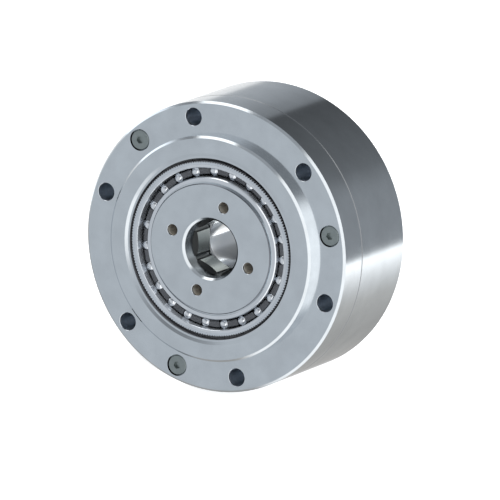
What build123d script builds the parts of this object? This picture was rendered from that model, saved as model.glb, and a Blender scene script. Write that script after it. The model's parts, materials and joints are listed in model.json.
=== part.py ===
# Cup-type strain wave gear unit with a cross roller output bearing, in millimetres.
# The axis runs along Y: the input side looks towards -Y and the output side towards +Y.
# The origin is on the axis, in the plane of the front flange face, and Z is up.
# Angles run from +X towards +Z, as seen from the input side.

import os
from math import cos, pi, radians, sin, sqrt, tan

from build123d import *

os.makedirs("parts", exist_ok=True)

# Housing: a front flange ring and a rear bearing ring, bolted together
housing_r = 53.5
seam_y = 13.0
housing_end_y = 44.6
outer_edge_chamfer = 0.8
seam_chamfer = 0.3
flange_width = 12.0
pilot_r = housing_r - flange_width
pilot_height = 4.3
pilot_chamfer = 0.8
mouth_step = 2.95
mouth_bevel_width = 1.1
mouth_bevel_depth = 0.5
mouth_ledge_width = 0.7

# Fasteners round the housing, all on one circle
bolt_edge_distance = 5.5
bolt_circle_r = housing_r - bolt_edge_distance
mount_hole_count = 6
mount_hole_r = 3.3
hole_edge_chamfer = 0.1
assembly_screw_count = 3
assembly_screw_start = 30.0
assembly_thread_r = 2.0
assembly_clearance_r = 2.25
assembly_head_r = 3.7
assembly_head_height = 4.0
assembly_key_width = 2.5
assembly_key_depth = 1.2
assembly_head_sink = 0.15
assembly_counterbore_r = 4.0
assembly_grip_below_seam = 9.0

# Fits shared by several pieces
slide_clearance = 0.02
thread_clearance = 0.02
hole_end_room = 2.0

# Spigot that centres the front ring in the rear ring, with its sealing ring
rear_ring_wall = 10.0
spigot_r = housing_r - rear_ring_wall
spigot_length = 4.0
spigot_end_room = 0.2
housing_seal_depth = 1.2
housing_seal_width = 1.6
housing_seal_offset = 1.2
seal_ring_chamfer = 0.3

# Teeth: straight flanks, two teeth more in the rigid ring than in the flexible cup
flex_teeth = 200
ring_teeth = flex_teeth + 2
flex_pitch_r = 32.25
mouth_r = flex_pitch_r + mouth_step
module = 2 * flex_pitch_r / flex_teeth
ring_pitch_r = module * ring_teeth / 2
tooth_addendum = 0.28
tooth_dedendum = 0.36
flank_angle = 30.0
flank_clearance = 0.04
ring_teeth_front_y = -1.2
ring_teeth_width = 9.2
ring_bore_relief = 0.45

# Flexible cup; near its mouth it is pushed out of round, outwards along X and inwards along Z
wave_height = module
cup_front_y = -3.6
flex_teeth_width = 12.1
cup_tooth_chamfer = 0.3
cup_rim_wall = 1.0
cup_bore_r = flex_pitch_r - cup_rim_wall
cup_wall = 0.4
cup_neck_length = 1.5
cup_round_y = 24.5
cup_corner_r = 2.0
diaphragm_wall = 0.6
cup_boss_front_y = 24.3
cup_boss_end_y = 28.3
cup_boss_r = 21.0
cup_boss_bore_r = 11.6

# Flexible ball bearing between the wave generator and the cup
ball_count = 23
ball_r = 2.25
ball_circle_depth = 3.0
ball_circle_r = cup_bore_r - ball_circle_depth
ball_y = 0.95
ball_clearance = 0.02
race_shoulder_step = 1.8
outer_race_width = 9.1
outer_race_shoulder_r = ball_circle_r + race_shoulder_step
outer_race_chamfer = 0.2
inner_race_width = 7.5
inner_race_wall = 1.55
inner_race_shoulder_r = ball_circle_r - race_shoulder_step
inner_race_bore_r = inner_race_shoulder_r - inner_race_wall
inner_race_chamfer = 0.3
cage_inner_step = 1.25
cage_outer_step = 1.2
cage_inner_r = ball_circle_r - cage_inner_step
cage_outer_r = ball_circle_r + cage_outer_step
cage_front_y = -0.7
cage_end_y = 4.4
cage_pocket_clearance = 0.1
cage_edge_chamfer = 0.3

# Wave generator plug: oval seat for the bearing, round hub behind it
plug_face_y = -3.7
plug_land_flattening = 1.1
plug_land_half_width = inner_race_bore_r
plug_land_half_height = inner_race_bore_r - plug_land_flattening
plug_land_edge = 0.3
plug_land_height = 1.3
plug_shoulder_step = 0.95
plug_shoulder_r = inner_race_bore_r + plug_shoulder_step
plug_shoulder_width = 1.5
plug_hub_r = 18.5
plug_end_y = 12.5
plug_bore_r = 10.8
plug_bore_chamfer = 0.8
plug_bore_length = 6.2
input_hole_count = 4
input_hole_circle_r = 16.6
input_thread_r = 2.1
input_thread_chamfer = 0.1
input_thread_depth = 8.0

# Drive sleeve with an internal hexagon, seated in the back of the hub
sleeve_r = 12.5
hexagon_flats = 18.4
hexagon_turn = 50.0
corner_relief_r = 1.1

# Output flange, which is also the inner ring of the cross roller bearing
outer_raceway_wall = 12.75
bearing_gap = 0.3
output_ring_r = housing_r - outer_raceway_wall - bearing_gap
output_front_y = 30.0
output_seat_r = 24.0
seal_land_step = 2.45
seal_land_r = output_ring_r - seal_land_step
output_face_y = 47.7
output_edge_chamfer = 0.8
output_recess_r = 20.0
output_recess_depth = 3.0
output_hole_count = 8
output_hole_circle_r = 30.0
output_thread_r = 2.5
output_thread_chamfer = 0.4
output_thread_depth = 12.0

# Cross rollers, their spacers and the plug that closes the filling hole
roller_spacing = 7.0
roller_r = 2.0
roller_length = 3.8
roller_clearance = 0.01
roller_circle_r = output_ring_r + bearing_gap / 2
roller_count = 2 * int(pi * roller_circle_r / roller_spacing)
roller_y = 35.5
spacer_width = 3.6
spacer_thickness = 2.6
filler_angle = 210.0
filler_r = 2.5
filler_sink = 0.3
filler_pin_r = 1.0
filler_pin_end_y = 33.4
filler_pin_sink = 0.3

# Rear part of the housing bore, and the oil seal in it
cup_room = 3.75
housing_bore_r = flex_pitch_r + cup_room
housing_step_y = 29.0
seal_seat_step = 2.05
seal_seat_r = output_ring_r + seal_seat_step
seal_seat_y = 41.4
seal_room = 0.1
seal_lip_clearance = 0.04
seal_shell_thickness = 1.7
seal_shell_end = 1.25
seal_lip_width = 1.0
seal_lip_back = 0.6
seal_dust_lip = 0.3

# Clamp ring and screws that fasten the cup to the output flange
clamp_ring_thickness = 3.0
clamp_ring_r = 20.5
clamp_ring_chamfer = 0.5
clamp_screw_count = 8
clamp_circle_r = 16.2
clamp_thread_r = 2.5
clamp_clearance_r = 2.75
clamp_head_r = 4.0
clamp_head_height = 5.0
clamp_key_width = 4.0
clamp_key_depth = 2.5
clamp_grip_below_boss = 10.0

# Hollow shaft tube through the middle of the output side
tube_bore_r = 9.8
tube_r = 11.2
tube_front_y = 13.0
tube_mouth_chamfer = 0.5
tube_seal_depth = 1.3
tube_seal_width = 1.8
tube_seal_y = 41.0


def front_plane(y):
    """Plane square to the axis, seen from the input side with Z up."""
    return Plane(origin=(0, y, 0), x_dir=(1, 0, 0), z_dir=(0, -1, 0))


def radial_point(radius, angle, y):
    """Point at a radius and an angle in degrees round the axis."""
    return (radius * cos(radians(angle)), y, radius * sin(radians(angle)))


def toothed_outline(count, profile, first_angle=0.0, wave=0.0):
    """Corners of a toothed ring. Each tooth follows profile, pairs of radius and sideways offset.

    With a wave the ring keeps its length and is pushed out of round, outwards along X.
    """
    corners = []
    for tooth in range(count):
        for radius, offset in profile:
            angle = first_angle + 2 * pi * tooth / count + offset / radius
            reach = radius + wave * cos(2 * angle)
            turn = angle - wave * sin(2 * angle) / (2 * flex_pitch_r)
            corners.append((reach * cos(turn), reach * sin(turn)))
    return corners


def oval(mean_r):
    """Half width and half height of a round size that the wave pushes out of round."""
    return mean_r + wave_height, mean_r - wave_height


# Tooth flanks: half widths at the tip and the root of one tooth
half_width_at_pitch = pi * module / 4 - flank_clearance / 2
tip_half_width = half_width_at_pitch - tooth_addendum * tan(radians(flank_angle))
root_half_width = half_width_at_pitch + tooth_dedendum * tan(radians(flank_angle))

# Places that follow from the sizes above
mouth_front_y = -pilot_height
mouth_ledge_y = mouth_front_y + mouth_bevel_depth
ledge_outer_r = mouth_r - mouth_bevel_width
ledge_inner_r = ledge_outer_r - mouth_ledge_width
ring_root_r = ring_pitch_r + tooth_dedendum
ring_teeth_end_y = ring_teeth_front_y + ring_teeth_width
ring_blank_r = ring_pitch_r - tooth_addendum - ring_bore_relief
ring_rear_bore_r = ring_root_r + ring_bore_relief
spigot_end_y = seam_y + spigot_length
housing_seal_y = seam_y + housing_seal_offset
assembly_head_y = assembly_head_sink + assembly_head_height
assembly_screw_end_y = seam_y + assembly_grip_below_seam
race_groove_r = ball_r + ball_clearance
roller_groove = (roller_r + roller_clearance) * sqrt(2)
filler_inner_r = roller_circle_r
filler_outer_r = housing_r - filler_sink
flex_teeth_end_y = cup_front_y + flex_teeth_width
cup_neck_end_y = flex_teeth_end_y + cup_neck_length
cup_wall_r = cup_bore_r + cup_wall
diaphragm_end_y = cup_round_y + cup_corner_r + diaphragm_wall
diaphragm_front_y = diaphragm_end_y - diaphragm_wall
output_bore_r = tube_r + slide_clearance
output_recess_y = output_face_y - output_recess_depth
clamp_ring_front_y = cup_boss_front_y - clamp_ring_thickness
clamp_screw_end_y = cup_boss_end_y + clamp_grip_below_boss
sleeve_front_y = plug_face_y + plug_bore_length


# Front ring: mounting flange, pilot boss and the rigid internal teeth
with BuildPart() as circular_spline:
    with BuildSketch(Plane.XY):
        with BuildLine():
            Polyline(
                (ring_blank_r, ring_teeth_front_y),
                (ledge_inner_r, ring_teeth_front_y),
                (ledge_inner_r, mouth_ledge_y),
                (ledge_outer_r, mouth_ledge_y),
                (mouth_r, mouth_front_y),
                (pilot_r - pilot_chamfer, mouth_front_y),
                (pilot_r, mouth_front_y + pilot_chamfer),
                (pilot_r, 0),
                (housing_r - outer_edge_chamfer, 0),
                (housing_r, outer_edge_chamfer),
                (housing_r, seam_y - seam_chamfer),
                (housing_r - seam_chamfer, seam_y),
                (spigot_r, seam_y),
                (spigot_r, spigot_end_y - seam_chamfer),
                (spigot_r - seam_chamfer, spigot_end_y),
                (ring_rear_bore_r, spigot_end_y),
                (ring_rear_bore_r, ring_teeth_end_y),
                (ring_blank_r, ring_teeth_end_y),
                close=True,
            )
        make_face()
    revolve(axis=Axis.Y)
    # Groove for the housing seal ring, in the side of the spigot
    with BuildSketch(Plane.XY):
        with Locations((spigot_r, housing_seal_y + housing_seal_width / 2)):
            Rectangle(2 * housing_seal_depth, housing_seal_width)
    revolve(axis=Axis.Y, mode=Mode.SUBTRACT)
    # Internal teeth, with a space on the X axis for the tooth of the cup there
    with BuildSketch(front_plane(ring_teeth_front_y - ring_bore_relief)):
        with BuildLine():
            ring_tooth = [
                (ring_root_r, -root_half_width),
                (ring_pitch_r - tooth_addendum, -tip_half_width),
                (ring_pitch_r - tooth_addendum, tip_half_width),
                (ring_root_r, root_half_width),
            ]
            Polyline(*toothed_outline(ring_teeth, ring_tooth, first_angle=pi / ring_teeth), close=True)
        make_face()
    extrude(amount=-(ring_teeth_width + 2 * ring_bore_relief), mode=Mode.SUBTRACT, clean=False)
    with Locations(front_plane(0)):
        with PolarLocations(bolt_circle_r, mount_hole_count):
            CounterSinkHole(mount_hole_r, mount_hole_r + hole_edge_chamfer, seam_y, 90)
        with PolarLocations(bolt_circle_r, assembly_screw_count, assembly_screw_start):
            CounterBoreHole(assembly_clearance_r, assembly_counterbore_r, assembly_head_y, seam_y)
circular_spline.part.label = "circular_spline"
export_step(circular_spline.part, "parts/circular_spline.step")


# Rear ring: carries the outer raceway of the cross roller bearing and the oil seal
with BuildPart() as housing_ring:
    with BuildSketch(Plane.XY):
        with BuildLine():
            Polyline(
                (spigot_r + slide_clearance, seam_y),
                (housing_r - seam_chamfer, seam_y),
                (housing_r, seam_y + seam_chamfer),
                (housing_r, housing_end_y - outer_edge_chamfer),
                (housing_r - outer_edge_chamfer, housing_end_y),
                (seal_seat_r + seam_chamfer, housing_end_y),
                (seal_seat_r, housing_end_y - seam_chamfer),
                (seal_seat_r, seal_seat_y),
                (output_ring_r + bearing_gap, seal_seat_y),
                (output_ring_r + bearing_gap, housing_step_y),
                (housing_bore_r, housing_step_y),
                (housing_bore_r, spigot_end_y + spigot_end_room),
                (spigot_r + slide_clearance, spigot_end_y + spigot_end_room),
                close=True,
            )
        make_face()
    revolve(axis=Axis.Y)
    with BuildSketch(Plane.XY):
        with Locations((roller_circle_r, roller_y)):
            Rectangle(roller_groove * sqrt(2), roller_groove * sqrt(2), rotation=45)
    revolve(axis=Axis.Y, mode=Mode.SUBTRACT)
    with Locations(front_plane(seam_y)):
        with PolarLocations(bolt_circle_r, mount_hole_count):
            Hole(mount_hole_r, housing_end_y - seam_y)
        with PolarLocations(bolt_circle_r, assembly_screw_count, assembly_screw_start):
            Hole(assembly_thread_r, assembly_grip_below_seam + hole_end_room)
    # Filling hole for the rollers, and the hole of the pin that locks its plug
    filler_plane = Plane(
        origin=radial_point(housing_r + hole_end_room, filler_angle, roller_y),
        z_dir=radial_point(1, filler_angle, 0),
    )
    with Locations(filler_plane):
        Hole(filler_r, housing_r + hole_end_room - filler_inner_r)
    with Locations(front_plane(filler_pin_end_y)):
        with PolarLocations(bolt_circle_r, 1, filler_angle):
            Hole(filler_pin_r, housing_end_y - filler_pin_end_y)
housing_ring.part.label = "housing_ring"
export_step(housing_ring.part, "parts/housing_ring.step")


# Sealing ring between the two housing rings, squeezed in its groove
with BuildPart() as housing_seal_ring:
    with BuildSketch(Plane.XY):
        with Locations((spigot_r - housing_seal_depth / 2 + slide_clearance / 2,
                        housing_seal_y + housing_seal_width / 2)):
            squeezed = Rectangle(housing_seal_depth - slide_clearance,
                                 housing_seal_width - 2 * slide_clearance)
        chamfer(squeezed.vertices(), seal_ring_chamfer)
    revolve(axis=Axis.Y)
housing_seal_ring.part.label = "housing_seal_ring"
export_step(housing_seal_ring.part, "parts/housing_seal_ring.step")


# Socket screws that hold the two housing rings together
with BuildPart() as assembly_screws:
    with BuildSketch(front_plane(assembly_head_y)):
        with PolarLocations(bolt_circle_r, assembly_screw_count, assembly_screw_start):
            Circle(assembly_head_r)
    extrude(amount=assembly_head_height)
    chamfer(assembly_screws.faces().filter_by(Axis.Y).group_by(Axis.Y)[0].edges(), seam_chamfer)
    with BuildSketch(front_plane(assembly_head_y)):
        with PolarLocations(bolt_circle_r, assembly_screw_count, assembly_screw_start):
            Circle(assembly_thread_r - thread_clearance)
    extrude(amount=-(assembly_screw_end_y - assembly_head_y))
    with BuildSketch(front_plane(assembly_head_sink)):
        with PolarLocations(bolt_circle_r, assembly_screw_count, assembly_screw_start):
            RegularPolygon(assembly_key_width / 2, 6, major_radius=False)
    extrude(amount=-assembly_key_depth, mode=Mode.SUBTRACT)
assembly_screws.part.label = "assembly_screws"
export_step(assembly_screws.part, "parts/assembly_screws.step")


# Plug in the filling hole, with the raceway cut across its inner end
with BuildPart() as filler_plug:
    with BuildSketch(Plane(origin=radial_point(filler_inner_r, filler_angle, roller_y),
                           z_dir=radial_point(1, filler_angle, 0))):
        Circle(filler_r - slide_clearance)
    extrude(amount=filler_outer_r - filler_inner_r)
    with BuildSketch(Plane.XY):
        with Locations((roller_circle_r, roller_y)):
            Rectangle(roller_groove * sqrt(2), roller_groove * sqrt(2), rotation=45)
    revolve(axis=Axis.Y, mode=Mode.SUBTRACT)
    with BuildSketch(front_plane(filler_pin_end_y)):
        with PolarLocations(bolt_circle_r, 1, filler_angle):
            Circle(filler_pin_r)
    extrude(amount=-(housing_end_y - filler_pin_end_y), mode=Mode.SUBTRACT)
filler_plug.part.label = "filler_plug"
export_step(filler_plug.part, "parts/filler_plug.step")


# Pin that locks the plug, pushed in from the back of the ring
with BuildPart() as filler_pin:
    with BuildSketch(front_plane(filler_pin_end_y)):
        with PolarLocations(bolt_circle_r, 1, filler_angle):
            Circle(filler_pin_r - slide_clearance)
    extrude(amount=-(housing_end_y - filler_pin_sink - filler_pin_end_y))
filler_pin.part.label = "filler_pin"
export_step(filler_pin.part, "parts/filler_pin.step")


# Oil seal between the housing and the output flange, with its lip on the flange
seal_front_y = seal_seat_y + seal_room
seal_end_y = housing_end_y - seam_chamfer
seal_lip_r = seal_land_r + seal_lip_clearance
seal_body_r = seal_seat_r - seal_shell_thickness
with BuildPart() as output_seal:
    with BuildSketch(Plane.XY):
        with BuildLine():
            Polyline(
                (seal_seat_r - slide_clearance, seal_front_y),
                (seal_seat_r - slide_clearance, seal_end_y),
                (seal_lip_r + seal_lip_width, seal_end_y),
                (seal_lip_r + seal_lip_width, seal_end_y - seal_dust_lip),
                (seal_lip_r + seal_dust_lip, seal_end_y - seal_dust_lip),
                (seal_lip_r, seal_end_y - seal_lip_back),
                (seal_lip_r + seal_dust_lip, seal_end_y - seal_shell_end),
                (seal_body_r, seal_end_y - seal_shell_end),
                (seal_body_r, seal_front_y),
                close=True,
            )
        make_face()
    revolve(axis=Axis.Y)
output_seal.part.label = "output_seal"
export_step(output_seal.part, "parts/output_seal.step")


# Flexible cup: a smooth oval shell with a diaphragm and a boss, then the spaces between its teeth
flex_tip_r = flex_pitch_r + tooth_addendum
flex_root_r = flex_pitch_r - tooth_dedendum
cup_stations = [
    (cup_front_y, oval(flex_tip_r - cup_tooth_chamfer)),
    (cup_front_y + cup_tooth_chamfer, oval(flex_tip_r)),
    (flex_teeth_end_y, oval(flex_tip_r)),
    (flex_teeth_end_y + flex_tip_r - flex_root_r, oval(flex_root_r)),
    (cup_neck_end_y, oval(cup_wall_r)),
    (cup_round_y, (cup_wall_r, cup_wall_r)),
]
with BuildPart() as flexspline:
    for (front_y, front_oval), (end_y, end_oval) in zip(cup_stations, cup_stations[1:]):
        with BuildSketch(front_plane(front_y)):
            Ellipse(*front_oval)
        with BuildSketch(front_plane(end_y)):
            Ellipse(*end_oval)
        loft(ruled=True)
    with BuildSketch(front_plane(cup_front_y)):
        Ellipse(*oval(cup_bore_r))
    extrude(amount=-(cup_neck_end_y - cup_front_y), mode=Mode.SUBTRACT)
    with BuildSketch(front_plane(cup_neck_end_y)):
        Ellipse(*oval(cup_bore_r))
    with BuildSketch(front_plane(cup_round_y)):
        Ellipse(cup_bore_r, cup_bore_r)
    loft(ruled=True, mode=Mode.SUBTRACT)
    # Rounded corner, diaphragm and boss
    with BuildSketch(Plane.XY):
        with BuildLine():
            wall_end = Line((cup_bore_r, cup_round_y), (cup_wall_r, cup_round_y))
            outside = RadiusArc(wall_end @ 1, (cup_bore_r - cup_corner_r, diaphragm_end_y),
                                -(cup_corner_r + diaphragm_wall))
            boss = Polyline(
                outside @ 1,
                (cup_boss_r + cup_corner_r, diaphragm_end_y),
                (cup_boss_r, cup_boss_end_y),
                (cup_boss_bore_r, cup_boss_end_y),
                (cup_boss_bore_r, cup_boss_front_y),
                (cup_boss_r, cup_boss_front_y),
                (cup_boss_r + cup_corner_r, diaphragm_front_y),
                (cup_bore_r - cup_corner_r, diaphragm_front_y),
            )
            RadiusArc(boss @ 1, wall_end @ 0, cup_corner_r)
        make_face()
    revolve(axis=Axis.Y)
    with Locations(front_plane(cup_boss_front_y)):
        with PolarLocations(clamp_circle_r, clamp_screw_count):
            Hole(clamp_clearance_r, cup_boss_end_y - cup_boss_front_y)
    with BuildSketch(front_plane(cup_front_y)):
        Circle(ring_root_r + wave_height)
        with BuildLine():
            cup_tooth = [
                (flex_root_r, -root_half_width),
                (flex_tip_r, -tip_half_width),
                (flex_tip_r, tip_half_width),
                (flex_root_r, root_half_width),
            ]
            Polyline(*toothed_outline(flex_teeth, cup_tooth, wave=wave_height), close=True)
        make_face(mode=Mode.SUBTRACT)
    extrude(amount=-flex_teeth_width, mode=Mode.SUBTRACT, clean=False)
flexspline.part.label = "flexspline"
export_step(flexspline.part, "parts/flexspline.step")


# Outer race of the flexible bearing, oval like the mouth of the cup that it sits in
outer_race_front_y = ball_y - outer_race_width / 2
with BuildPart() as outer_race:
    with BuildSketch(front_plane(outer_race_front_y)):
        Ellipse(*oval(cup_bore_r - slide_clearance))
        Ellipse(*oval(outer_race_shoulder_r), mode=Mode.SUBTRACT)
    extrude(amount=-outer_race_width)
    chamfer(outer_race.edges().filter_by(GeomType.ELLIPSE).sort_by(SortBy.LENGTH)[:2], outer_race_chamfer)
    with BuildSketch(Plane.XY):
        with Locations((ball_circle_r, ball_y)):
            Circle(race_groove_r)
    revolve(axis=Axis.Y, mode=Mode.SUBTRACT)
outer_race.part.label = "outer_race"
export_step(outer_race.part, "parts/outer_race.step")


# Balls of the flexible bearing
ball_angles = [360 * number / ball_count for number in range(ball_count)]
with BuildPart() as bearing_balls:
    with Locations(*[radial_point(ball_circle_r, angle, ball_y) for angle in ball_angles]):
        Sphere(ball_r)
bearing_balls.part.label = "bearing_balls"
export_step(bearing_balls.part, "parts/bearing_balls.step")


# Crown cage: a ring behind the balls, with prongs between them that reach to the front
with BuildPart() as ball_cage:
    with BuildSketch(front_plane(cage_front_y)):
        Circle(cage_outer_r)
        Circle(cage_inner_r, mode=Mode.SUBTRACT)
    extrude(amount=-(cage_end_y - cage_front_y))
    chamfer(ball_cage.faces().sort_by(Axis.Y)[0].edges(), cage_edge_chamfer)
    with Locations(*[Plane(origin=radial_point(ball_circle_r, angle, ball_y),
                           z_dir=radial_point(1, angle, 0)) for angle in ball_angles]):
        Cylinder(ball_r + cage_pocket_clearance, 2 * (cage_outer_r - cage_inner_r), mode=Mode.SUBTRACT)
ball_cage.part.label = "ball_cage"
export_step(ball_cage.part, "parts/ball_cage.step")


# Inner race, seated on the oval plug
inner_race_front_y = ball_y - inner_race_width / 2
inner_race_end_y = ball_y + inner_race_width / 2
with BuildPart() as inner_race:
    with BuildSketch(front_plane(inner_race_front_y)):
        Ellipse(*oval(inner_race_shoulder_r))
        Ellipse(*oval(inner_race_bore_r), mode=Mode.SUBTRACT)
    extrude(amount=-inner_race_width)
    chamfer(inner_race.edges().filter_by(GeomType.ELLIPSE).sort_by(SortBy.LENGTH)[-2:], inner_race_chamfer)
    with BuildSketch(Plane.XY):
        with Locations((ball_circle_r, ball_y)):
            Circle(race_groove_r)
    revolve(axis=Axis.Y, mode=Mode.SUBTRACT)
inner_race.part.label = "inner_race"
export_step(inner_race.part, "parts/inner_race.step")


# Wave generator plug: raised oval land, oval seat, shoulder and hub
with BuildPart() as wave_generator_plug:
    with BuildSketch(front_plane(plug_face_y + plug_land_height)):
        Ellipse(plug_land_half_width, plug_land_half_height)
    extrude(amount=plug_land_height)
    chamfer(wave_generator_plug.faces().sort_by(Axis.Y)[0].edges(), plug_land_edge)
    with BuildSketch(front_plane(plug_face_y + plug_land_height)):
        Ellipse(*oval(inner_race_bore_r - slide_clearance))
    extrude(amount=-(inner_race_end_y + slide_clearance - plug_face_y - plug_land_height))
    with BuildSketch(front_plane(inner_race_end_y + slide_clearance)):
        Circle(plug_shoulder_r)
    extrude(amount=-plug_shoulder_width)
    with BuildSketch(front_plane(inner_race_end_y)):
        Circle(plug_hub_r)
    extrude(amount=-(plug_end_y - inner_race_end_y))
    with Locations(front_plane(plug_face_y)):
        CounterSinkHole(plug_bore_r, plug_bore_r + plug_bore_chamfer, plug_bore_length, 90)
        with PolarLocations(input_hole_circle_r, input_hole_count):
            CounterSinkHole(input_thread_r, input_thread_r + input_thread_chamfer, input_thread_depth, 90)
    with BuildSketch(front_plane(sleeve_front_y)):
        Circle(sleeve_r)
    extrude(amount=-(plug_end_y - sleeve_front_y), mode=Mode.SUBTRACT)
wave_generator_plug.part.label = "wave_generator_plug"
export_step(wave_generator_plug.part, "parts/wave_generator_plug.step")


# Drive sleeve: internal hexagon with relieved corners and a conical lead-in
sleeve_length = plug_end_y - sleeve_front_y
hexagon_corner_r = hexagon_flats / sqrt(3)
lead_in_depth = plug_bore_r - hexagon_flats / 2
with BuildPart() as drive_sleeve:
    with BuildSketch(front_plane(sleeve_front_y)):
        Circle(sleeve_r - slide_clearance)
        RegularPolygon(hexagon_flats / 2, 6, major_radius=False, rotation=hexagon_turn, mode=Mode.SUBTRACT)
        with PolarLocations(hexagon_corner_r - corner_relief_r / 2, 6, hexagon_turn):
            Circle(corner_relief_r, mode=Mode.SUBTRACT)
    extrude(amount=-sleeve_length)
    with BuildSketch(Plane.XY):
        with BuildLine():
            Polyline((0, sleeve_front_y), (plug_bore_r, sleeve_front_y),
                     (plug_bore_r - lead_in_depth, sleeve_front_y + lead_in_depth),
                     (0, sleeve_front_y + lead_in_depth), close=True)
        make_face()
    revolve(axis=Axis.Y, mode=Mode.SUBTRACT)
drive_sleeve.part.label = "drive_sleeve"
export_step(drive_sleeve.part, "parts/drive_sleeve.step")


# Output flange with the inner raceway, the driven face and its threaded holes
with BuildPart() as output_flange:
    with BuildSketch(Plane.XY):
        with BuildLine():
            Polyline(
                (output_bore_r, cup_boss_end_y),
                (output_seat_r, cup_boss_end_y),
                (output_seat_r, output_front_y),
                (output_ring_r - seam_chamfer, output_front_y),
                (output_ring_r, output_front_y + seam_chamfer),
                (output_ring_r, seal_seat_y),
                (seal_land_r, seal_seat_y),
                (seal_land_r, output_face_y - output_edge_chamfer),
                (seal_land_r - output_edge_chamfer, output_face_y),
                (output_recess_r + seam_chamfer, output_face_y),
                (output_recess_r, output_face_y - seam_chamfer),
                (output_recess_r, output_recess_y),
                (output_bore_r, output_recess_y),
                close=True,
            )
        make_face()
    revolve(axis=Axis.Y)
    with BuildSketch(Plane.XY):
        with Locations((roller_circle_r, roller_y)):
            Rectangle(roller_groove * sqrt(2), roller_groove * sqrt(2), rotation=45)
        with Locations((output_bore_r, tube_seal_y)):
            Rectangle(2 * tube_seal_depth, tube_seal_width)
    revolve(axis=Axis.Y, mode=Mode.SUBTRACT)
    with Locations(front_plane(cup_boss_end_y)):
        with PolarLocations(clamp_circle_r, clamp_screw_count):
            Hole(clamp_thread_r + thread_clearance, clamp_grip_below_boss + hole_end_room)
    with Locations(Plane(origin=(0, output_face_y, 0), x_dir=(1, 0, 0), z_dir=(0, 1, 0))):
        with PolarLocations(output_hole_circle_r, output_hole_count):
            CounterSinkHole(output_thread_r, output_thread_r + output_thread_chamfer, output_thread_depth, 90)
output_flange.part.label = "output_flange"
export_step(output_flange.part, "parts/output_flange.step")


# Clamp ring inside the cup, under the heads of the clamp screws
with BuildPart() as clamp_ring:
    with BuildSketch(front_plane(clamp_ring_front_y)):
        Circle(clamp_ring_r)
        Circle(cup_boss_bore_r, mode=Mode.SUBTRACT)
        with PolarLocations(clamp_circle_r, clamp_screw_count):
            Circle(clamp_clearance_r, mode=Mode.SUBTRACT)
    extrude(amount=-clamp_ring_thickness)
    chamfer(clamp_ring.faces().sort_by(Axis.Y)[0].outer_wire().edges(), clamp_ring_chamfer)
clamp_ring.part.label = "clamp_ring"
export_step(clamp_ring.part, "parts/clamp_ring.step")


# Screws through the clamp ring and the boss of the cup into the output flange
with BuildPart() as clamp_screws:
    with BuildSketch(front_plane(clamp_ring_front_y)):
        with PolarLocations(clamp_circle_r, clamp_screw_count):
            Circle(clamp_head_r)
    extrude(amount=clamp_head_height)
    with BuildSketch(front_plane(clamp_ring_front_y)):
        with PolarLocations(clamp_circle_r, clamp_screw_count):
            Circle(clamp_thread_r)
    extrude(amount=-(clamp_screw_end_y - clamp_ring_front_y))
    with BuildSketch(front_plane(clamp_ring_front_y - clamp_head_height)):
        with PolarLocations(clamp_circle_r, clamp_screw_count):
            RegularPolygon(clamp_key_width / 2, 6, major_radius=False)
    extrude(amount=-clamp_key_depth, mode=Mode.SUBTRACT)
clamp_screws.part.label = "clamp_screws"
export_step(clamp_screws.part, "parts/clamp_screws.step")


# Hollow shaft tube, seated in the bore of the output flange
with BuildPart() as centre_tube:
    with BuildSketch(front_plane(tube_front_y)):
        Circle(tube_r)
        Circle(tube_bore_r, mode=Mode.SUBTRACT)
    extrude(amount=-(output_recess_y - tube_front_y))
    chamfer(centre_tube.faces().sort_by(Axis.Y)[0].inner_wires().edges(), tube_mouth_chamfer)
centre_tube.part.label = "centre_tube"
export_step(centre_tube.part, "parts/centre_tube.step")


# Sealing ring round the tube
with BuildPart() as tube_seal_ring:
    with BuildSketch(Plane.XY):
        with Locations((output_bore_r + (tube_seal_depth - slide_clearance) / 2, tube_seal_y)):
            squeezed = Rectangle(tube_seal_depth - slide_clearance, tube_seal_width - 2 * slide_clearance)
        chamfer(squeezed.vertices(), seal_ring_chamfer)
    revolve(axis=Axis.Y)
tube_seal_ring.part.label = "tube_seal_ring"
export_step(tube_seal_ring.part, "parts/tube_seal_ring.step")


# Rollers, turned by 45 degrees to the axis, each one across its neighbours
with BuildPart() as cross_rollers:
    with Locations(*[Plane(origin=radial_point(roller_circle_r, 360 * number / roller_count, roller_y),
                           z_dir=radial_point(1, 360 * number / roller_count, 1 if number % 2 else -1))
                     for number in range(roller_count)]):
        Cylinder(roller_r, roller_length)
cross_rollers.part.label = "cross_rollers"
export_step(cross_rollers.part, "parts/cross_rollers.step")


# Spacers between the rollers, square bars that lie in the raceways with one corner outwards
spacer_angles = [360 * (number + 0.5) / roller_count for number in range(roller_count)]
with BuildPart() as roller_spacers:
    with Locations(*[Plane(origin=radial_point(roller_circle_r, angle, roller_y),
                           x_dir=radial_point(1, angle, 1),
                           z_dir=radial_point(1, angle + 90, 0)) for angle in spacer_angles]):
        Box(spacer_width, spacer_width, spacer_thickness)
roller_spacers.part.label = "roller_spacers"
export_step(roller_spacers.part, "parts/roller_spacers.step")
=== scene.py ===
"""Studio picture of a cup-type strain wave gear unit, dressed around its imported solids.

Lengths are in metres. The gear axis is Y, the input side looks towards -Y, and Z is up.
"""

import json
from math import cos, hypot, inf, pi, radians, sin

import bmesh
import bpy
from mathutils import Matrix, Vector


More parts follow.
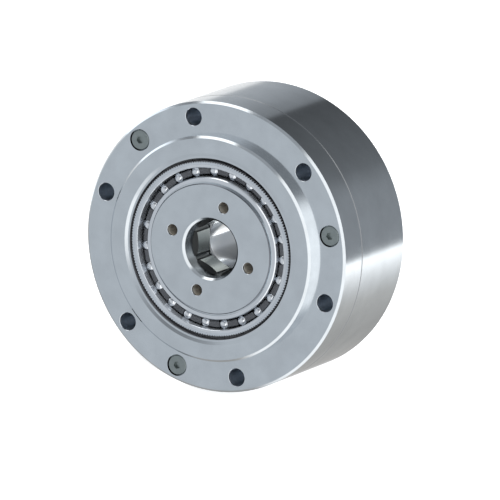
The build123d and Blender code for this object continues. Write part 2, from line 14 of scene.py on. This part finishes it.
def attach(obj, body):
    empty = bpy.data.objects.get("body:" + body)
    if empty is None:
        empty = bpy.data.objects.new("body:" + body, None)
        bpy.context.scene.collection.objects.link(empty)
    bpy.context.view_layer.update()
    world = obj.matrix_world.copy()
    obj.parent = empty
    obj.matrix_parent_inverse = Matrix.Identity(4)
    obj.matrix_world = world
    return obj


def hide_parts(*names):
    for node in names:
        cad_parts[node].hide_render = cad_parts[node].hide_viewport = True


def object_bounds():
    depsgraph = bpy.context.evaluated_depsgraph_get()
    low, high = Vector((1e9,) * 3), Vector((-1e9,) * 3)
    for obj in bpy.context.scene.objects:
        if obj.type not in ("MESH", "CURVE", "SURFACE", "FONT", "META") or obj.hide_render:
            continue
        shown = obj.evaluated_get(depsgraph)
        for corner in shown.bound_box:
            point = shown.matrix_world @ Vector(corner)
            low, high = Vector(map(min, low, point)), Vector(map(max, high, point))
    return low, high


MM = 0.001

# Camera: the axes of its view, the width of the picture, and where the origin falls in it
VIEW_BACK = Vector((0.38361, -0.85328, 0.35321))
VIEW_RIGHT = Vector((0.82267, 0.48952, 0.28910))
VIEW_UP = Vector((-0.41959, 0.17967, 0.88975))
PICTURE_WIDTH = 180.5 * MM
ORIGIN_LEFT_OF_MIDDLE = 12.63 * MM
ORIGIN_ABOVE_MIDDLE = 0.98 * MM
CAMERA_DISTANCE = 4.3
CAMERA_REACH = 100
SENSOR_WIDTH = 36.0

# Meshes: corners that are joined, and the angle below which two faces shade as one
MERGE_DISTANCE = 0.002 * MM
SMOOTH_BELOW = radians(19)

# Noise scales of the finishes, in patches per metre
LATHE_MARKS = 9000
CLOUDS = 120
FINE_CLOUDS = 900
GRAIN = 4000
# The part of the noise's output that is used
NOISE_RANGE = (0.3, 0.7)
RELIEF_DEPTH = 0.01 * MM
LATHE_RELIEF = 0.05
GRAIN_RELIEF = 0.15

# Threads that show in open tapped holes
THREAD_PITCH = 0.8 * MM
THREAD_DEPTH = 0.22 * MM
# Share of the pitch that a ridge takes up, so that two ridges don't meet
RIDGE_SHARE = 0.98
THREAD_STEPS = 40
INPUT_THREAD_LENGTH = 7.6 * MM
OUTPUT_THREAD_LENGTH = 11.0 * MM

# Slopes of faces, from 0 on a wall along the axis to 1 on a face across it
WALL = (-1, 0.1)
CONE = (0.1, 0.8)
TOOTH = (-1, 0.8)
OUTER_GROOVE = (-1, 0.98)
INNER_GROOVE = (-1, 0.4)
EVERY_SLOPE = (-1, 2)

# Where the finishes of small faces go, most of them painted shade or a painted highlight: ranges of distance
# from the axis, or of place along it
BORE_R = (9.3 * MM, 11.2 * MM)
INNER_GROOVE_R = (25.7 * MM, 27.5 * MM)
OUTER_GROOVE_R = (29.0 * MM, 30.75 * MM)
TEETH_R = (31.0 * MM, 33.45 * MM)
PILOT_R = (41.3 * MM, 41.7 * MM)
OUTSIDE_R = (52.5 * MM, 53.6 * MM)
EVERY_Y = (-inf, inf)
BEHIND_MOUTH_Y = (-3.7 * MM, inf)
SEAM_Y = (12.0 * MM, 14.0 * MM)
# Front edges: piece, finish and range of distance from the axis, and how far back such an edge reaches. The
# race and plug edges get painted shade.
FRONT_EDGES = (
    ("outer_race", "race_edge", (25.0 * MM, 35.0 * MM)),
    ("centre_tube", "tube_rim", (5.0 * MM, 35.0 * MM)),
    ("wave_generator_plug", "plug_edge", (20.0 * MM, 35.0 * MM)),
)
EDGE_REACH = 0.6 * MM
# Corner reliefs of the hexagon: circle of their middles, first angle, and reach from a middle
RELIEF_CIRCLE_R = 10.07 * MM
RELIEF_COUNT = 6
RELIEF_ANGLE = radians(50)
RELIEF_REACH = 1.2 * MM
# Reach of a mounting hole's wall from the middle of the hole, in hole radii
HOLE_REACH = 1.02

# Studio floor and lamps
FLOOR_RADIUS = 6.0
FLOOR_SEGMENTS = 96
PAPER_TONE = 0.9
PAPER_ROUGHNESS = 0.9
PAPER_SHINE = 0.1
# What the paper adds for the camera, so that it comes out white
PAPER_LIFT = 0.62
LAMP_SIZE = 1.2
# Place and watts
LAMPS = {
    "key_lamp": ((-0.8, -1.0, 1.6), 30),
    "fill_lamp": ((1.4, -0.6, 0.9), 12),
}

# Surroundings that the metal mirrors. A table gives stops of (component of the direction, tone, tint).
NEUTRAL = (1.0, 1.0, 1.0)
COOL = (0.95, 1.0, 1.06)
WARM = (1.02, 1.0, 0.97)
# The brightest tone that the colour ramps can hold
BRIGHTEST = 2.0
# Ceiling by X: a dark panel overhead, paler walls to both sides
CEILING = [
    (-1.0, 1.8, COOL), (-0.75, 1.6, COOL), (-0.6, 0.55, COOL), (-0.52, 0.47, COOL), (-0.41, 0.31, COOL),
    (-0.345, 0.27, COOL), (-0.33, 0.09, COOL), (-0.10, 0.125, COOL), (0.11, 0.155, COOL), (0.25, 0.19, COOL),
    (0.37, 0.32, COOL), (0.55, 0.35, COOL), (1.0, 0.55, COOL),
]
# Floor by Z: on the right white near the horizon and darker below, on the left dim with a bright band
FLOOR_RIGHT = [
    (-1.0, 0.44, WARM), (-0.52, 0.44, WARM), (-0.35, 0.60, WARM), (-0.25, 0.84, NEUTRAL),
    (-0.17, 1.25, NEUTRAL), (-0.08, 1.9, NEUTRAL), (0.0, 2.0, NEUTRAL),
]
FLOOR_LEFT = [
    (-1.0, 0.46, WARM), (-0.445, 0.48, WARM), (-0.385, 1.5, NEUTRAL), (-0.25, 1.05, NEUTRAL),
    (-0.15, 0.96, NEUTRAL), (0.0, 1.05, NEUTRAL),
]
# The room in front by Z: a cool grey, dark overhead
ROOM = [
    (-1.0, 0.60, COOL), (-0.2, 0.66, COOL), (0.25, 0.62, COOL), (0.42, 0.26, COOL), (0.7, 0.30, COOL),
    (1.0, 0.5, COOL),
]
# On the right in front, by Z: a pale floor and a paler wall
SIDE_WALL = [
    (-1.0, 1.4, NEUTRAL), (-0.62, 1.4, NEUTRAL), (-0.45, 0.95, COOL), (0.3, 0.80, COOL), (1.0, 0.50, COOL),
]
# Two bright panels before that wall, by Y: their share of what is seen
PANEL_SHARE = [
    (-0.82, 1, NEUTRAL), (-0.76, 0, NEUTRAL), (-0.60, 0, NEUTRAL), (-0.55, 1, NEUTRAL), (-0.34, 1, NEUTRAL),
    (-0.24, 0, NEUTRAL),
]
PANEL_TONE = 1.45
# A small lamp panel above on the left
LAMP_PANEL = Vector((-0.667, -0.242, 0.705)).normalized()
LAMP_PANEL_TONE = 1.9
# Where one zone goes over into the next, each from and to
LEFT_TO_RIGHT = (-0.15, 0.1)
HORIZON = (-0.062, -0.045)
SIDE = Vector((1, 0.25, 0))
ROOM_TO_SIDE = (0.0, 0.16)
FRONT_TO_BEHIND = (-0.03, 0.06)
LAMP_PANEL_EDGE = (0.965, 0.975)

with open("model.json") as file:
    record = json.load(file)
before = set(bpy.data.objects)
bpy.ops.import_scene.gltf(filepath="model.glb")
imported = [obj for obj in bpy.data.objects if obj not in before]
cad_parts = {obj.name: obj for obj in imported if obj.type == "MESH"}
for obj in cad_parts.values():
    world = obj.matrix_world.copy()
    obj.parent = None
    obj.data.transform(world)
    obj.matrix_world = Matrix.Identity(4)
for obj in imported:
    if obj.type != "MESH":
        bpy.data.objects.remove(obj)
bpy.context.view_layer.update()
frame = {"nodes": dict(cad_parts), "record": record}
SLOTS = {entry["node"]: entry["material_slot"] for entry in frame["record"]["subparts"]}
MOUNTS = {mount["name"]: mount for mount in frame["record"]["mounts"]}
BODY_OF = {node: body for body, nodes in frame["record"]["behaviour"]["bodies"].items() for node in nodes}


# Nodes that finishes and studio share

def map_range(tree, value, before, after=(0, 1), smooth=False):
    """The value with one range carried to another."""
    node = tree.nodes.new("ShaderNodeMapRange")
    if smooth:
        node.interpolation_type = "SMOOTHSTEP"
    for name, number in zip(("From Min", "From Max", "To Min", "To Max"), (*before, *after)):
        node.inputs[name].default_value = number
    tree.links.new(value, node.inputs["Value"])
    return node.outputs["Result"]


def mix_colours(tree, amount, first, second):
    """A blend of two colours, each a socket or red, green and blue."""
    mix = tree.nodes.new("ShaderNodeMix")
    mix.data_type = "RGBA"
    tree.links.new(amount, mix.inputs["Factor"])
    for name, colour in (("A", first), ("B", second)):
        if isinstance(colour, bpy.types.NodeSocket):
            tree.links.new(colour, mix.inputs[name])
        else:
            mix.inputs[name].default_value = (*colour, 1)
    return mix.outputs["Result"]


def vector_math(tree, operation, vector):
    """A node for vectors, with its first input linked."""
    node = tree.nodes.new("ShaderNodeVectorMath")
    node.operation = operation
    tree.links.new(vector, node.inputs[0])
    return node


# Finishes

def new_material(name):
    """A material with a bare shader, its node tree and that shader."""
    material = bpy.data.materials.new(name)
    material.use_nodes = True
    tree = material.node_tree
    tree.nodes.clear()
    shader = tree.nodes.new("ShaderNodeBsdfPrincipled")
    output = tree.nodes.new("ShaderNodeOutputMaterial")
    tree.links.new(shader.outputs["BSDF"], output.inputs["Surface"])
    return material, tree, shader


def object_coordinates(tree):
    """Places on the object itself."""
    return tree.nodes.new("ShaderNodeTexCoord").outputs["Object"]


def turned(tree, places):
    """Distance from the gear axis and place along it: tool marks of a lathe follow these two."""
    parts = tree.nodes.new("ShaderNodeSeparateXYZ")
    tree.links.new(places, parts.inputs["Vector"])
    across = tree.nodes.new("ShaderNodeCombineXYZ")
    tree.links.new(parts.outputs["X"], across.inputs["X"])
    tree.links.new(parts.outputs["Z"], across.inputs["Y"])
    radius = vector_math(tree, "LENGTH", across.outputs["Vector"])
    both = tree.nodes.new("ShaderNodeCombineXYZ")
    tree.links.new(radius.outputs["Value"], both.inputs["X"])
    tree.links.new(parts.outputs["Y"], both.inputs["Y"])
    return both.outputs["Vector"]


def noise(tree, places, scale, detail):
    """A noise pattern."""
    texture = tree.nodes.new("ShaderNodeTexNoise")
    texture.inputs["Scale"].default_value = scale
    texture.inputs["Detail"].default_value = detail
    tree.links.new(places, texture.inputs["Vector"])
    return texture.outputs["Fac"]


def tint(tree, shader, pattern, colour, contrast):
    """Base colour that wanders to both sides of a tone."""
    dark = [c * (1 - contrast) for c in colour]
    light = [min(1, c * (1 + contrast)) for c in colour]
    amount = map_range(tree, pattern, NOISE_RANGE)
    tree.links.new(mix_colours(tree, amount, dark, light), shader.inputs["Base Color"])


def roughen(tree, shader, pattern, rough, variation):
    """Roughness that wanders to both sides of a value."""
    limits = (rough * (1 - variation), rough * (1 + variation))
    tree.links.new(map_range(tree, pattern, NOISE_RANGE, limits), shader.inputs["Roughness"])


def relief(tree, shader, pattern, strength):
    """Fine surface relief."""
    bump = tree.nodes.new("ShaderNodeBump")
    bump.inputs["Strength"].default_value = strength
    bump.inputs["Distance"].default_value = RELIEF_DEPTH
    tree.links.new(pattern, bump.inputs["Height"])
    tree.links.new(bump.outputs["Normal"], shader.inputs["Normal"])


def turned_metal(name, colour, rough):
    """Machined metal with fine lathe marks round the axis and faint cloudiness."""
    material, tree, shader = new_material(name)
    places = object_coordinates(tree)
    marks = noise(tree, turned(tree, places), LATHE_MARKS, detail=2)
    shader.inputs["Metallic"].default_value = 1
    tint(tree, shader, noise(tree, places, CLOUDS, detail=3), colour, contrast=0.05)
    roughen(tree, shader, marks, rough, variation=0.15)
    relief(tree, shader, marks, LATHE_RELIEF)
    return material


def plain_metal(name, colour, rough, contrast=0.04, metallic=1.0):
    """Polished, oiled or blackened metal with faint cloudiness."""
    material, tree, shader = new_material(name)
    clouds = noise(tree, object_coordinates(tree), FINE_CLOUDS, detail=3)
    shader.inputs["Metallic"].default_value = metallic
    tint(tree, shader, clouds, colour, contrast)
    roughen(tree, shader, clouds, rough, variation=0.2)
    return material


def moulded(name, colour, rough):
    """Moulded polymer, rubber or grease with a faint grain."""
    material, tree, shader = new_material(name)
    grain = noise(tree, object_coordinates(tree), GRAIN, detail=4)
    tint(tree, shader, grain, colour, contrast=0.15)
    roughen(tree, shader, grain, rough, variation=0.1)
    relief(tree, shader, grain, GRAIN_RELIEF)
    return material


# Name, kind, colour, roughness and, for some plain metals, contrast and metallic share. The names down to
# tube_steel are the slots of the pieces, the others belong to small faces, most of them painted shade or a
# painted highlight.
FINISHES = {name: make(name, *look) for name, make, *look in (
    ("ring_steel", turned_metal, (0.62, 0.66, 0.69), 0.15),
    ("housing_steel", turned_metal, (0.62, 0.66, 0.69), 0.15),
    ("screw_steel", plain_metal, (0.29, 0.325, 0.32), 0.34, 0.08),
    ("seal_rubber", moulded, (0.018, 0.018, 0.019), 0.6),
    ("bearing_steel", turned_metal, (0.72, 0.75, 0.78), 0.12),
    ("ball_steel", plain_metal, (0.80, 0.82, 0.84), 0.07),
    ("cup_steel", turned_metal, (0.66, 0.70, 0.74), 0.17),
    ("cage_polymer", moulded, (0.085, 0.090, 0.100), 0.25),
    ("plug_steel", turned_metal, (0.62, 0.66, 0.69), 0.18),
    ("sleeve_steel", turned_metal, (0.41, 0.44, 0.42), 0.2),
    ("flange_steel", turned_metal, (0.62, 0.66, 0.70), 0.17),
    ("clamp_steel", turned_metal, (0.50, 0.53, 0.56), 0.22),
    ("tube_steel", turned_metal, (0.93, 0.96, 1.0), 0.15),
    ("threaded_hole", plain_metal, (0.62, 0.585, 0.53), 0.38, 0.12),
    # Painted shade: the plug's bore wall darker than its steel
    ("bore_wall", turned_metal, (0.31, 0.34, 0.36), 0.25),
    # Painted shade: the hexagon's corner reliefs dark
    ("corner_relief", turned_metal, (0.16, 0.17, 0.17), 0.35),
    # Painted shade: the sleeve's lead-in cone nearly black
    ("lead_in", turned_metal, (0.055, 0.058, 0.058), 0.5),
    ("hole_wall", plain_metal, (0.68, 0.74, 0.81), 0.42, 0.08),
    # Painted shade: dark chamfers at the seam of the rings
    ("seam_edge", turned_metal, (0.26, 0.27, 0.28), 0.25),
    # Painted highlight: the pilot wall brighter than its steel, for the reflection it shows
    ("pilot_wall", turned_metal, (0.88, 0.90, 0.92), 0.12),
    # Painted shade: dark front edges of the plug and the outer race
    ("plug_edge", turned_metal, (0.15, 0.16, 0.18), 0.3),
    ("race_edge", turned_metal, (0.24, 0.25, 0.26), 0.3),
    ("tube_rim", turned_metal, (0.95, 0.96, 0.98), 0.6),
    # Painted shade: the tooth zone dark, for its deep narrow gap
    ("greased_teeth", moulded, (0.12, 0.125, 0.137), 0.4),
    # Painted shade: the raceway grooves darker and less metallic
    ("oiled_groove", plain_metal, (0.50, 0.53, 0.57), 0.14, 0.15, 0.72),
)}


# Pieces

def add_piece(name, shape, body, material):
    """Makes an object from a bmesh, shades it, and hangs it on its body."""
    mesh = bpy.data.meshes.new(name)
    shape.to_mesh(mesh)
    shape.free()
    stored_normals = mesh.attributes.get("custom_normal")
    if stored_normals:
        mesh.attributes.remove(stored_normals)
    mesh.polygons.foreach_set("use_smooth", [True] * len(mesh.polygons))
    mesh.set_sharp_from_angle(angle=SMOOTH_BELOW)
    mesh.materials.append(material)
    piece = bpy.data.objects.new(name, mesh)
    bpy.context.scene.collection.objects.link(piece)
    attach(piece, body)
    return piece


def dress_node(node):
    """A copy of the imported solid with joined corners, so that its round faces shade smoothly."""
    shape = bmesh.new()
    shape.from_mesh(frame["nodes"][node].data)
    bmesh.ops.remove_doubles(shape, verts=shape.verts, dist=MERGE_DISTANCE)
    slot = SLOTS[node]
    piece = add_piece(node + "_dressed", shape, BODY_OF[node], FINISHES[slot])
    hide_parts(node)
    return piece


def circle_places(circle_r, count, first_angle=0.0):
    """Places of a circular pattern round the gear axis."""
    angles = [first_angle + 2 * pi * number / count for number in range(count)]
    return [Vector((cos(angle), 0, sin(angle))) * circle_r for angle in angles]


def between(radii):
    """Test for a face centre between two distances from the gear axis."""
    return lambda centre: radii[0] < hypot(centre.x, centre.z) < radii[1]


def near(places, reach):
    """Test for a face centre close to one of the places, whatever its depth."""
    return lambda centre: any(hypot(centre.x - place.x, centre.z - place.z) < reach for place in places)


def refinish(node, finish, chosen, slopes, along=EVERY_Y):
    """Another finish, or painted shade or highlight, for the faces that pass the test and lie in both
    ranges, of slope and of Y.
    """
    mesh = dressed[node].data
    mesh.materials.append(FINISHES[finish])
    for face in mesh.polygons:
        in_ranges = slopes[0] < abs(face.normal.y) < slopes[1] and along[0] < face.center.y < along[1]
        if in_ranges and chosen(face.center):
            face.material_index = len(mesh.materials) - 1


def thread_lining(name, mount, depth, body):
    """Ridges of the thread in each hole of a tapped bolt circle."""
    dims = MOUNTS[mount]["dims"]
    face_y = MOUNTS[mount]["pos_m"][1]
    inward = 1 if MOUNTS[mount]["axis"][1] < 0 else -1
    wall_r = dims["hole_r_mm"] * MM
    shape = bmesh.new()
    for centre in circle_places(dims["pcd_mm"] / 2 * MM, int(dims["count"])):
        for turn in range(1, int(depth / THREAD_PITCH)):
            front = face_y + inward * turn * THREAD_PITCH
            profile = ((wall_r, 0), (wall_r - THREAD_DEPTH, 0.5), (wall_r, RIDGE_SHARE))
            corners = [shape.verts.new(centre + Vector((across, front + inward * share * THREAD_PITCH, 0)))
                       for across, share in profile]
            edges = [shape.edges.new((corners[k], corners[(k + 1) % 3])) for k in range(3)]
            bmesh.ops.spin(shape, geom=corners + edges, cent=centre, axis=(0, 1, 0), angle=2 * pi,
                           steps=THREAD_STEPS, use_merge=True, use_duplicate=False)
    bmesh.ops.recalc_face_normals(shape, faces=shape.faces)
    return add_piece(name, shape, body, FINISHES["threaded_hole"])


dressed = {node: dress_node(node) for node in sorted(frame["nodes"])}

flange_dims = MOUNTS["flange_bolts"]["dims"]
mount_holes = near(circle_places(flange_dims["pcd_mm"] / 2 * MM, int(flange_dims["count"])),
                   flange_dims["hole_r_mm"] * HOLE_REACH * MM)
corner_reliefs = near(circle_places(RELIEF_CIRCLE_R, RELIEF_COUNT, RELIEF_ANGLE), RELIEF_REACH)

# Painted shade darkens the plug's bore wall
refinish("wave_generator_plug", "bore_wall", between(BORE_R), WALL)
# Painted shade makes the sleeve's lead-in cone nearly black
refinish("drive_sleeve", "lead_in", between(BORE_R), CONE)
# Painted shade darkens the corner reliefs of the hexagon
refinish("drive_sleeve", "corner_relief", corner_reliefs, WALL)
for part in ("circular_spline", "housing_ring"):
    refinish(part, "hole_wall", mount_holes, WALL)
    # Painted shade darkens the chamfers at the seam of the two rings
    refinish(part, "seam_edge", between(OUTSIDE_R), CONE, SEAM_Y)
# Painted shade darkens the front edges of the outer race and the plug
for part, edge_finish, edge_r in FRONT_EDGES:
    front_y = min(vertex.co.y for vertex in dressed[part].data.vertices)
    refinish(part, edge_finish, between(edge_r), CONE, (-inf, front_y + EDGE_REACH))
# Painted highlight brightens the pilot boss wall
refinish("circular_spline", "pilot_wall", between(PILOT_R), WALL)
# Painted shade: the toothed zone lies in a deep narrow gap and is painted dark for its shade
refinish("circular_spline", "greased_teeth", between(TEETH_R), EVERY_SLOPE, BEHIND_MOUTH_Y)
# Painted shade on the flexspline's teeth as well
refinish("flexspline", "greased_teeth", between(TEETH_R), TOOTH)
# Painted shade darkens the raceway grooves of both races
refinish("outer_race", "oiled_groove", between(OUTER_GROOVE_R), OUTER_GROOVE)
refinish("inner_race", "oiled_groove", between(INNER_GROOVE_R), INNER_GROOVE)

thread_lining("input_threads", "input_bolts", INPUT_THREAD_LENGTH, "wave_generator")
thread_lining("output_threads", "output_bolts", OUTPUT_THREAD_LENGTH, "output")


# Studio

def toned(tone, tint_colour=NEUTRAL, full=BRIGHTEST):
    """A tone as a colour, with the full tone as 1."""
    return tuple(tone * c / full for c in tint_colour)


def ramp(tree, component, stops, full=BRIGHTEST):
    """Colour by a component of the direction, from -1 to 1."""
    node = tree.nodes.new("ShaderNodeValToRGB")
    elements = node.color_ramp.elements
    elements.remove(elements[-1])
    for number, (place, tone, tint_colour) in enumerate(stops):
        element = elements.new((place + 1) / 2) if number else elements[0]
        element.position = (place + 1) / 2
        element.color = (*toned(tone, tint_colour, full), 1)
    tree.links.new(map_range(tree, component, (-1, 1)), node.inputs["Fac"])
    return node.outputs["Color"]


def studio_light(tree, direction):
    """Colour of the surroundings by direction: pale floor, dim ceiling, brighter to the left."""
    parts = tree.nodes.new("ShaderNodeSeparateXYZ")
    tree.links.new(direction, parts.inputs["Vector"])
    x, y, z = (parts.outputs[axis] for axis in "XYZ")

    def towards(target):
        dot = vector_math(tree, "DOT_PRODUCT", direction)
        dot.inputs[1].default_value = target
        return dot.outputs["Value"]

    def blend(value, edge, first, second):
        return mix_colours(tree, map_range(tree, value, edge, smooth=True), first, second)

    floor = blend(x, LEFT_TO_RIGHT, ramp(tree, z, FLOOR_LEFT), ramp(tree, z, FLOOR_RIGHT))
    behind = blend(z, HORIZON, floor, ramp(tree, x, CEILING))
    panel_share = ramp(tree, y, PANEL_SHARE, full=1)
    right = mix_colours(tree, panel_share, ramp(tree, z, SIDE_WALL), toned(PANEL_TONE))
    front = blend(towards(SIDE), ROOM_TO_SIDE, ramp(tree, z, ROOM), right)
    around = blend(y, FRONT_TO_BEHIND, front, behind)
    whole = blend(towards(LAMP_PANEL), LAMP_PANEL_EDGE, around, toned(LAMP_PANEL_TONE))
    scaled = vector_math(tree, "SCALE", whole)
    scaled.inputs["Scale"].default_value = BRIGHTEST
    return scaled.outputs["Vector"]


def build_world():
    """White to the camera, a soft studio to everything else."""
    world = bpy.data.worlds.new("studio")
    bpy.context.scene.world = world
    world.use_nodes = True
    tree = world.node_tree
    tree.nodes.clear()
    output = tree.nodes.new("ShaderNodeOutputWorld")
    coordinates = tree.nodes.new("ShaderNodeTexCoord")
    light_path = tree.nodes.new("ShaderNodeLightPath")
    studio = tree.nodes.new("ShaderNodeBackground")
    tree.links.new(studio_light(tree, coordinates.outputs["Generated"]), studio.inputs["Color"])
    studio.inputs["Strength"].default_value = 1
    white = tree.nodes.new("ShaderNodeBackground")
    white.inputs["Color"].default_value = (1, 1, 1, 1)
    white.inputs["Strength"].default_value = 1
    choose = tree.nodes.new("ShaderNodeMixShader")
    tree.links.new(light_path.outputs["Is Camera Ray"], choose.inputs["Fac"])
    tree.links.new(studio.outputs["Background"], choose.inputs[1])
    tree.links.new(white.outputs["Background"], choose.inputs[2])
    tree.links.new(choose.outputs["Shader"], output.inputs["Surface"])


def add_camera():
    """Long lens far away, so that the picture is nearly parallel."""
    data = bpy.data.cameras.new("camera")
    data.sensor_width = SENSOR_WIDTH
    data.lens = CAMERA_DISTANCE * SENSOR_WIDTH / PICTURE_WIDTH
    data.clip_end = CAMERA_REACH
    camera = bpy.data.objects.new("camera", data)
    bpy.context.scene.collection.objects.link(camera)
    middle = VIEW_RIGHT * ORIGIN_LEFT_OF_MIDDLE - VIEW_UP * ORIGIN_ABOVE_MIDDLE
    turn = Matrix((VIEW_RIGHT, VIEW_UP, VIEW_BACK)).transposed().to_4x4()
    camera.matrix_world = Matrix.Translation(middle + VIEW_BACK * CAMERA_DISTANCE) @ turn
    bpy.context.scene.camera = camera


def add_floor():
    """Pale floor under the housing: white to the camera, but it keeps the shadow."""
    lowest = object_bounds()[0][2]
    shape = bmesh.new()
    bmesh.ops.create_circle(shape, cap_ends=True, segments=FLOOR_SEGMENTS, radius=FLOOR_RADIUS,
                            matrix=Matrix.Translation((0, 0, lowest)))
    mesh = bpy.data.meshes.new("floor")
    shape.to_mesh(mesh)
    shape.free()
    floor = bpy.data.objects.new("floor", mesh)
    bpy.context.scene.collection.objects.link(floor)
    material, tree, shader = new_material("floor_paper")
    shader.inputs["Base Color"].default_value = (PAPER_TONE, PAPER_TONE, PAPER_TONE, 1)
    shader.inputs["Roughness"].default_value = PAPER_ROUGHNESS
    shader.inputs["Specular IOR Level"].default_value = PAPER_SHINE
    light_path = tree.nodes.new("ShaderNodeLightPath")
    lift = tree.nodes.new("ShaderNodeMath")
    lift.operation = "MULTIPLY"
    lift.inputs[1].default_value = PAPER_LIFT
    tree.links.new(light_path.outputs["Is Camera Ray"], lift.inputs[0])
    shader.inputs["Emission Color"].default_value = (1, 1, 1, 1)
    tree.links.new(lift.outputs["Value"], shader.inputs["Emission Strength"])
    mesh.materials.append(material)
    floor.visible_glossy = False


def add_lamp(name, place, watts):
    """A soft square lamp that looks at the part."""
    data = bpy.data.lights.new(name, "AREA")
    data.size = LAMP_SIZE
    data.energy = watts
    lamp = bpy.data.objects.new(name, data)
    bpy.context.scene.collection.objects.link(lamp)
    aim = (-place).to_track_quat("-Z", "Y").to_matrix().to_4x4()
    lamp.matrix_world = Matrix.Translation(place) @ aim
    lamp.visible_glossy = False


build_world()
add_camera()
add_floor()
for lamp_name, (lamp_place, lamp_watts) in LAMPS.items():
    add_lamp(lamp_name, Vector(lamp_place), lamp_watts)

bpy.context.scene.view_settings.view_transform = "Standard"
